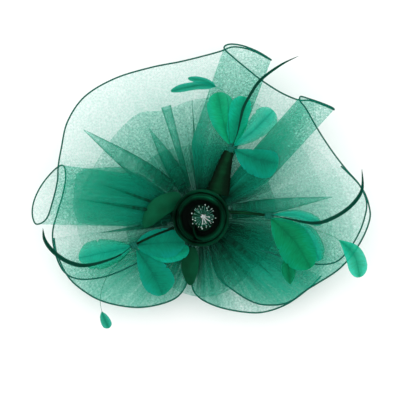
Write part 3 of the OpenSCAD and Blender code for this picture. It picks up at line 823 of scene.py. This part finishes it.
build_crinoline()
build_ruffle()
build_spikes()
build_stitches()

# ---------------- flower

# The flower satin runs from a near-black painted shade deep in the cup to painted light at the lips, set by
# its "depth" attribute
SATIN = satin_material("satin", (0.0002, 0.002, 0.001), (0.0010, 0.040, 0.017), painted_light=True)
LEAF_SATIN = satin_material("leaf_satin", (0.0003, 0.032, 0.012), (0.0008, 0.075, 0.032))
# The stem satin takes part of its colour from painted light on the top of each stem
STEM_SATIN = satin_material("stem_satin", (0.0002, 0.004, 0.0012), (0.0004, 0.012, 0.004), painted_light=True)


PROFILE_STEPS = 6  # points between each pair of a profile's control points
CUP_LIP = 5.8  # control point at which a cup's profile has turned over its rim
PETAL_COLS = 200
LAP_TURNS = 1.04
LAP_SHRINK = 0.02  # how much closer in a petal's end lies, under its start


def petal_light_and_shade(z, foot, top, inside, lit):
    """Painted light and shade on a petal: some colour on its outside, a little more higher up, painted light
    (`lit`) at its lip, and painted shade that leaves none deep in the cup.
    """
    share = np.clip((z - foot) / (top - foot), 0, 1)
    below = np.clip((top - z) / (3 * MM), 0, 1)
    return np.where(inside, (0.9 + (lit - 0.9) * below) * share ** 1.5, 0.75 + 0.2 * share)


def cup(name, node, waves, seed, lit, lip, throat):
    """A rolled petal: the profile of its CAD cup, with a thin turned rim, soft creases and a spiral lap."""
    least, most = corners(node)
    rim, foot, top = most[0], least[2], most[2]
    height = top - foot
    profile = smooth([(9 * MM, foot + 0.3 * MM), (rim * 0.62, foot + 2.6 * MM),
                      (rim * 0.84, foot + height * 0.4), (rim * 0.94, foot + height * 0.75),
                      (rim * 0.975, top - 1.0 * MM), (rim * 0.99, top), (rim * 0.97, top + 0.2 * MM),
                      (rim * lip, top - 1.2 * MM), (rim * throat, top - 5 * MM),
                      (rim * 0.84, foot + height * 0.5), (rim * 0.55, foot + 4.2 * MM)], PROFILE_STEPS)
    draw = np.random.default_rng(seed)
    turn = np.linspace(0, FULL_TURN * LAP_TURNS, PETAL_COLS)
    lap = 1 - LAP_SHRINK * turn / turn[-1]
    crease = sum(np.sin(k * turn + draw.uniform(*ANY_PHASE)) * 0.5 / k for k in waves)
    r = profile[None, :, 0] * lap[:, None] * (1 + 0.012 * crease[:, None])
    share = (profile[:, 1] - foot) / height
    z = profile[None, :, 1] + 0.5 * MM * np.roll(crease, 20)[:, None] * share[None, :]
    grid = np.stack([r * np.cos(turn)[:, None], r * np.sin(turn)[:, None], z], -1)
    u, v = np.meshgrid(turn * rim, run_length(profile), indexing="ij")
    inside = (np.arange(len(profile)) > CUP_LIP * PROFILE_STEPS)[None, :] * np.ones_like(z, bool)
    # Painted light and shade: none of the colour shows deep in the cup, and lit shows at the lip
    depth = petal_light_and_shade(z, foot, top, inside, lit)
    keep(grid_object(name, grid, np.stack([u, v], -1), {"depth": depth}), SATIN, stands_for=node)


def build_inner_petal():
    """The innermost petal: its edge starts near the stamens, curls down and follows the cup's wall round."""
    least, most = corners("flower_inner_petal")
    foot, top, wall = least[2] + 1 * MM, most[2], most[0] + 2.6 * MM
    turn = np.radians(np.linspace(-75, 250, 14))
    free = np.array([(-6.5, -7.0), (-7.7, -11.5), (-6.6, -16.5), (-3.2, -20.9)]) * MM
    round_wall = np.stack([wall * np.cos(turn), wall * np.sin(turn)], -1)
    edge = along(np.vstack([free, round_wall]), np.linspace(0, 1, 220))
    down = np.linspace(0, 1, 22)[None, :]
    pull = 0.42 * down[..., None] ** 1.05
    around = run_length(edge)[:, None] / run_length(edge)[-1]
    xy = edge[:, None] * (1 - pull) + 0.2 * MM * np.sin(30 * around + 3 * down)[..., None]
    z = top - 1.0 * MM * around - (top - foot) * down * np.ones_like(around)
    grid = np.concatenate([xy, z[..., None]], -1)
    # Painted shade: the petal darkens to black as it goes down into the cup
    colour = 1.5 * (1 - down) ** 1.5 * np.minimum(0.6 + 3 * down, 1) * np.ones_like(around)
    obj = grid_object("inner_petal", grid, layer_uv(grid / MM), {"depth": colour})
    thicken(obj, 0.4 * MM)
    keep(obj, SATIN, stands_for="flower_inner_petal")


def build_flower():
    dress(frame["nodes"]["flower_calyx"], LEAF_SATIN)
    cup("outer_petal", "flower_outer_petal", (2, 3, 5, 9), 21, 1.6, 0.93, 0.88)
    cup("middle_petal", "flower_middle_petal", (2, 3, 7, 11), 22, 1.4, 0.95, 0.92)
    build_inner_petal()


def ball(centre, radius, rings=6, sides=8):
    lat = np.linspace(-math.pi / 2, math.pi / 2, rings)[:, None]
    lon = np.linspace(0, FULL_TURN, sides, endpoint=False)[None, :]
    height = np.sin(lat) * np.ones_like(lon)
    shape = np.stack([np.cos(lat) * np.cos(lon), np.cos(lat) * np.sin(lon), height], -1)
    return centre + radius * shape.reshape(-1, 3), grid_faces(rings, sides, closed=True)


STAMENS = 38
STALK_R = 0.2 * MM
TUFT_RAYS = 18
GOLDEN_TURN = math.radians(137.5)  # spreads them evenly, each this far round from the last
BEADS = stamen_material("stamen_beads", (0.03, 0.30, 0.2), (0.85, 1.0, 0.95), 0.3)
STALKS = stamen_material("stamen_stalks", (0.004, 0.11, 0.07), (0.07, 0.38, 0.27), 0.5)
TUFT = stamen_material("stamen_tuft", (0.45, 0.8, 0.68), (0.95, 1.0, 1.0), 0.5)


def build_stamens():
    """Beaded stalks that fan from the core, and a bright tuft in the middle."""
    least, most = corners("stamens")
    centre = np.array([2.2, 1.2, 0]) * MM
    reach = most[0]
    foot_z = least[2] + 0.5 * MM
    head_z = most[2] - 1.5 * MM
    draw = np.random.default_rng(11)
    beads, stalks, tuft = Pile(), Pile(), Pile()
    for i in range(STAMENS):
        share = 0.4 + 0.6 * ((i + 0.5) / STAMENS) ** 0.4
        turn = GOLDEN_TURN * i + draw.uniform(-0.1, 0.1)
        out = reach * share * draw.uniform(0.86, 1.0)
        top = head_z - 5 * MM * share**2 + draw.uniform(-1.2, 1.0) * MM
        direction = np.array([math.cos(turn), math.sin(turn), 0])
        foot = centre + direction * 3.0 * MM * share + UP * foot_z
        head = centre + direction * out + UP * top
        middle = (foot + head) / 2 + UP * (2.0 * MM * share) - direction * 1.2 * MM * share
        path = along([foot, middle, head], np.linspace(0, 1, 7))
        stalks.add(*sweep(path, STALK_R, 5), own=draw.uniform(0, 1))
        beads.add(*ball(head, draw.uniform(0.38, 0.76) * MM), own=draw.uniform(0, 1))
    for i in range(TUFT_RAYS):
        turn = GOLDEN_TURN * i
        lean = 0.8 if i % 5 == 0 else 0.35 * math.sqrt((i + 0.5) / TUFT_RAYS)
        direction = np.array([math.cos(turn) * lean, math.sin(turn) * lean, 1])
        out = np.linspace(0, draw.uniform(7, 11) * MM, 5)[:, None]
        tuft.add(*sweep(centre + UP * foot_z + direction * out, np.linspace(0.6, 0.25, 5) * MM, 5), own=1.0)
    keep(beads.build("stamen_beads"), BEADS, stands_for="stamens")
    keep(stalks.build("stamen_stalks"), STALKS)
    keep(tuft.build("stamen_tuft"), TUFT, stands_for="stamen_core")


build_flower()
build_stamens()

# ---------------- leaves, stems and bindings


def leaf(name, node, path, half, fold, seed):
    """A satin leaf with a folded middle rib and soft side creases."""
    t = np.linspace(0, 1, 48)
    k = np.linspace(-1, 1, 21)[None, :]
    spine = along(path, t)
    side, _ = across(spine)
    width = half * np.sin(math.pi * (0.12 + 0.86 * t)) ** 0.8 + 0.3 * (1 - t)
    draw = np.random.default_rng(seed)
    ripple = 0.35 * np.sin(9 * t[:, None] + 5 * np.abs(k) + draw.uniform(*ANY_PHASE))
    z = -fold * np.abs(k) ** 1.3 + ripple * np.abs(k)
    grid = beside(spine, side, UP[None, :], width[:, None] * k, z)
    obj = grid_object(name, grid * MM, layer_uv(grid))
    thicken(obj, 0.35 * MM)
    keep(obj, LEAF_SATIN, stands_for=node)


RIBBON_PITCH = 6
STEM_SIDES = 28
STEM_ROWS = 120


def wrapped(name, node, path, r0, r1, flat=1.0):
    """A stem wound with satin ribbon: ridges that climb round it. flat is its height over its width."""
    t = np.linspace(0, 1, STEM_ROWS)
    spine = along(path, t)
    side, up = across(spine)
    turn = np.linspace(0, FULL_TURN, STEM_SIDES, endpoint=False)[None, :]
    lengths = run_length(spine)[:, None]
    lap = (lengths / RIBBON_PITCH + turn / FULL_TURN) % 1
    ridge = 1 + 0.08 * lap ** 2 + 0.03 * np.sin(3 * turn + lengths / 9)
    radius = (r0 + (r1 - r0) * t[:, None]) * ridge
    ring = beside(spine, side, up, radius * np.cos(turn), radius * flat * np.sin(turn))
    uv = np.stack([lengths * np.ones_like(turn), radius * turn], -1)
    # Painted light: the top of the stem is lighter than its sides, as if lit from above; it is stored as the
    # "depth" attribute
    lit = (0.5 + 0.9 * np.maximum(np.sin(turn), 0) ** 3) * np.ones_like(radius)
    obj = make_mesh(name, ring.reshape(-1, 3) * MM, tube_faces(STEM_ROWS, STEM_SIDES),
                    uv.reshape(-1, 2) * MM, {"depth": lit.ravel()})
    keep(obj, STEM_SATIN, stands_for=node)


TAPE_HALF = 4.6 * MM


def bound(name, node, ahead):
    """Floral tape wound over the quills: a lumpy spindle in the CAD binding's place."""
    centre = sum(corners(node)) / 2
    t = np.linspace(-1, 1, 40)
    path = centre + unit(np.array(ahead, float)) * (TAPE_HALF * t)[:, None]
    radius = (1.3 + 2.0 * np.sqrt(np.maximum(0, 1 - t**2)) + 0.25 * np.abs((t * 5) % 1 - 0.5)) * MM
    keep(tube(name, path, radius, 16), CORD, stands_for=node)


def build_leaves_and_stems():
    leaf("left_satin_leaf", "left_petal", [(-20, 21, 30), (-42, 10, 32.5), (-57, -9, 31.5)], 10, 1.6, 31)
    leaf("lower_satin_leaf", "lower_petal", [(-10, -29, 17), (-11, -48, 16), (-10.5, -67, 14.5)],
         8.5, 1.2, 32)
    wrapped("top_wrapped_stem", "top_stem", [(16.5, 24.5, 29), (21.5, 46, 33), (28, 66.5, 36)],
            11.6, 4.6, 0.35)
    wrapped("right_wrapped_stem", "right_stem", [(26.5, 6, 25), (46, 5, 25), (65, 3, 25)], 1.8, 1.1)
    wrapped("left_wrapped_stem", "left_stem", [(-25, -9, 27), (-46, -17, 29.5), (-64, -25.5, 28)],
            1.15, 1.1)
    bound("top_tape", "top_binding", (7, 20, 0))
    bound("right_tape", "right_binding", (1, 0, 0))
    bound("left_tape", "left_binding", (-1, -0.3, 0))


build_leaves_and_stems()

# ---------------- feathers

VANE_ROWS = 90
VANE_HALF_COLS = 12
QUILL_ROWS = 60
TIP_START = 0.7  # share of a vane where its tip starts to round off
TIP_ROUND = 2.4
FRAY = 0.008
NOTCH_DEPTH, NOTCH_WIDTH = 0.12, 0.010  # as shares of a vane's width and length
BARB_CLUMPS = 26
BARB_SWEEP = 0.55  # how far forward barbs lean
NARROWEST = 0.3  # half width under which a side has no barbs


def vane_side(spine, side, up, widths, sign, draw, notches):
    """One half of a vane, as a grid from the quill out to the outline, with a slight bow and ripples."""
    t = np.linspace(0, 1, VANE_ROWS)
    wide = np.maximum(along(np.array(widths, float)[:, None], t)[:, 0], 0)
    wide = wide * np.sqrt(1 - np.clip((t - TIP_START) / (1 - TIP_START), 0, 1) ** TIP_ROUND)
    wide = wide * (1 + FRAY * draw.normal(0, 1, VANE_ROWS))
    for place in notches:
        wide = wide * (1 - NOTCH_DEPTH * np.exp(-((t - place) / NOTCH_WIDTH) ** 2))
    k = np.linspace(0, 1, VANE_HALF_COLS + 1)[None, :]
    out = wide[:, None] * k
    bow = 0.05 * wide[:, None] * np.sin(math.pi * k) - 0.10 * out ** 1.5 / 6
    clumps = 0.05 * np.sin(FULL_TURN * (t[:, None] * BARB_CLUMPS - k * 3)) * k ** 0.5
    return beside(spine, side, up, sign * out, bow + clumps)


def feather(node, path, left, right, material, bare, quill, notches, seed, tip_lobe=None):
    """A feather: its quill, and a thin vane with the half widths given from root to tip on each side."""
    draw = np.random.default_rng(seed)
    pile = Pile()
    full = along(path, np.linspace(0, 1, QUILL_ROWS))
    verts, faces, uvs = sweep(full, np.linspace(quill, 0.12, QUILL_ROWS), 8)
    pile.add(verts * MM, faces, np.stack([uvs[:, 0] * MM, 0 * uvs[:, 1]], -1))
    lobes = [(path, bare, left, right)] + ([tip_lobe] if tip_lobe else [])
    k = np.linspace(0, 1, VANE_HALF_COLS + 1)[None, :]
    for lobe_path, start, left_widths, right_widths in lobes:
        spine = along(lobe_path, start + (1 - start) * np.linspace(0, 1, VANE_ROWS))
        side, up = across(spine)
        for sign, widths in ((-1, left_widths), (1, right_widths)):
            if max(widths) < NARROWEST:
                continue
            cuts = draw.uniform(0.35, 0.95, notches)
            grid = vane_side(spine, side, up, widths, sign, draw, cuts)
            out = np.linalg.norm(grid - spine[:, None], axis=2)
            barb = run_length(spine)[:, None] - BARB_SWEEP * out
            uv = np.stack([barb * MM, k * np.ones_like(barb)], -1)
            pile.add(grid * MM, grid_faces(VANE_ROWS, VANE_HALF_COLS + 1), uv)
    keep(pile.build(node.replace("feather", "plume")), material, stands_for=node)


VIVID = feather_material("feather_vivid", (0.001, 0.41, 0.18), (0.005, 0.62, 0.42), 0.45)
GRASS = feather_material("feather_grass", (0.0005, 0.27, 0.105), (0.003, 0.40, 0.25), 0.2)
MOSS = feather_material("feather_moss", (0.0005, 0.20, 0.075), (0.002, 0.28, 0.14), 0.4)
DEEP = feather_material("feather_deep", (0.001, 0.26, 0.155), (0.003, 0.35, 0.28), 0.15)
PALE = feather_material("feather_pale", (0.003, 0.46, 0.31), (0.03, 0.66, 0.55), 0.85)
BRIGHT = feather_material("feather_bright", (0.002, 0.36, 0.20), (0.006, 0.60, 0.44), 0.25)
CURL = feather_material("feather_curl", (0.001, 0.055, 0.033), (0.003, 0.085, 0.055), 0.0)
# Each feather: its quill from root to tip, half widths on its two sides from root to tip, its material,
# and the share of its quill that is bare
BROAD = {
    "top": [
        ([(30, 71, 35.2), (22, 98, 40), (16, 125, 46)],
         [0.5, 6, 11, 13, 12.5, 9], [0.5, 7, 12, 14, 13.5, 10], VIVID, 0.03),
        ([(31, 71, 36.6), (36, 94, 42), (43, 121, 48)],
         [0.5, 5, 9, 10, 11, 11, 10], [0.5, 5, 8.5, 10, 10, 10, 9], BRIGHT, 0.03),
        ([(32, 71, 38), (52, 87, 44), (72, 107, 48)],
         [0.5, 4, 8, 11, 12.5, 10.5], [0.5, 5, 9, 11.5, 12.5, 10.5], PALE, 0.03),
        ([(32, 69, 34), (54, 59, 36), (77, 54, 38)],
         [0.5, 5, 9, 11, 12, 11], [0.5, 9, 15, 17, 16, 11], DEEP, 0.05)],
    "right": [
        ([(69, 1, 25), (94, -24, 28), (109, -50, 31)],
         [0.5, 10, 15.5, 15, 12, 9], [0.5, 11, 18, 20, 17.5, 12], GRASS, 0.02),
        ([(70, 1, 23.6), (104, -13, 26), (118, -43, 28)],
         [0.3, 3, 7, 9, 9, 7], [0.3, 3, 7, 9, 9, 7], PALE, 0.15),
        ([(70, 3, 27.4), (95, 3, 31), (120, -6, 33)],
         [0.3, 3, 5, 6, 6, 4], [0.3, 2, 4, 5, 5, 4], PALE, 0.05),
        ([(69, 0, 22.2), (84, -36, 23), (89, -66, 24)],
         [0.3, 4, 7, 6.5, 4, 1.5], [0.3, 4, 7, 6.5, 4, 1.5], MOSS, 0.5)],
    "left": [
        ([(-66, -27, 26), (-42, -25, 24), (-16, -24, 22)],
         [0.5, 9, 13.5, 14.5, 12, 6], [0.5, 9, 13, 15, 13, 7], DEEP, 0.02),
        ([(-68, -28, 27.4), (-94, -34, 30), (-122, -40, 33)],
         [0.5, 9, 13.5, 15.5, 13, 7], [0.5, 7, 12, 14.5, 13, 7.5], PALE, 0.03),
        ([(-66, -29, 22.4), (-50, -52, 20), (-38, -77, 18)],
         [0.5, 7, 13, 17, 17, 12], [0.5, 7, 12, 14, 12.5, 8], DEEP, 0.08),
        ([(-65, -28, 24.2), (-38, -37, 21.5), (-12, -30, 19.5)],
         [0.3, 4, 7, 8, 8, 6], [0.3, 4, 7, 8.5, 8, 6], BRIGHT, 0.15)],
}
DROPS = {
    "top": (
        [(29, 72, 39.2), (27, 98, 50), (26, 120, 55), (15, 130, 57), (-2, 132, 57), (-30, 126, 56)],
        [0.3, 3.5, 4.5, 4, 3.5, 2.5], [0.3, 2.5, 3, 4, 4.5, 3], DEEP, 0.6),
    "right": (
        [(70, 0, 30.2), (100, -8, 36), (126, -16, 38), (140, -24, 39), (153, -38, 38), (158, -59, 36)],
        [0.3, 4, 8, 9.5, 9.5, 7], [0.3, 4, 8, 9.5, 9.5, 8], BRIGHT, 0.55),
    "left": (
        [(-68, -30, 21), (-92, -56, 22), (-100, -76, 21), (-99, -93, 18), (-92, -110, 14)],
        [0.2, 3, 4.5, 5, 4.5, 3], [0.2, 3, 4.5, 5, 4.5, 3], DEEP, 0.75),
}
# Each thin curved feather: its quill from root to tip, and its greatest half width
CURLS = {
    "top": (
        [(31, 71, 39.3), (36, 84, 45), (39, 97, 50), (42, 109, 53), (48, 121, 56),
         (59, 137, 58), (79, 152, 58), (97, 161, 56)], 1.5),
    "right": (
        [(70, 3, 28.8), (88, -1, 33), (113, -5, 36), (131, 0, 38), (149, 12, 40),
         (160, 28, 42), (160, 49, 44)], 1.9),
    "left": (
        [(-69, -28, 28.8), (-85, -39, 34), (-113, -47, 38), (-131, -44, 42),
         (-146, -34, 48), (-155, -22, 54), (-157, -10, 58)], 2.1),
}
CURL_WIDTHS = [0.35, 0.7, 1, 1, 1, 0.8, 0.35]  # shares of the greatest, from root to tip
CURL_BARE = 0.12
# The top drop feather is forked: a second lobe runs above its own
FORK = ([(15, 130, 57), (4, 136, 57.5), (-13, 139, 57)], 0.0, [0.3, 2.5, 3, 3, 2.5], [0.3, 2.5, 3, 3, 2])


def build_feathers():
    seed = 50
    for bunch, broad in BROAD.items():
        for number, row in enumerate(broad, 1):
            feather(f"{bunch}_feather_{number}", *row, quill=0.45, notches=2, seed=seed)
            seed += 1
    for bunch, row in DROPS.items():
        feather(f"{bunch}_drop_feather", *row, quill=0.35, notches=0, seed=seed,
                tip_lobe=FORK if bunch == "top" else None)
        seed += 1
    for number, (bunch, (path, half)) in enumerate(CURLS.items()):
        widths = [half * share for share in CURL_WIDTHS]
        feather(f"{bunch}_curved_feather", path, widths, widths, CURL, CURL_BARE, quill=0.4, notches=0,
                seed=80 + number)


build_feathers()
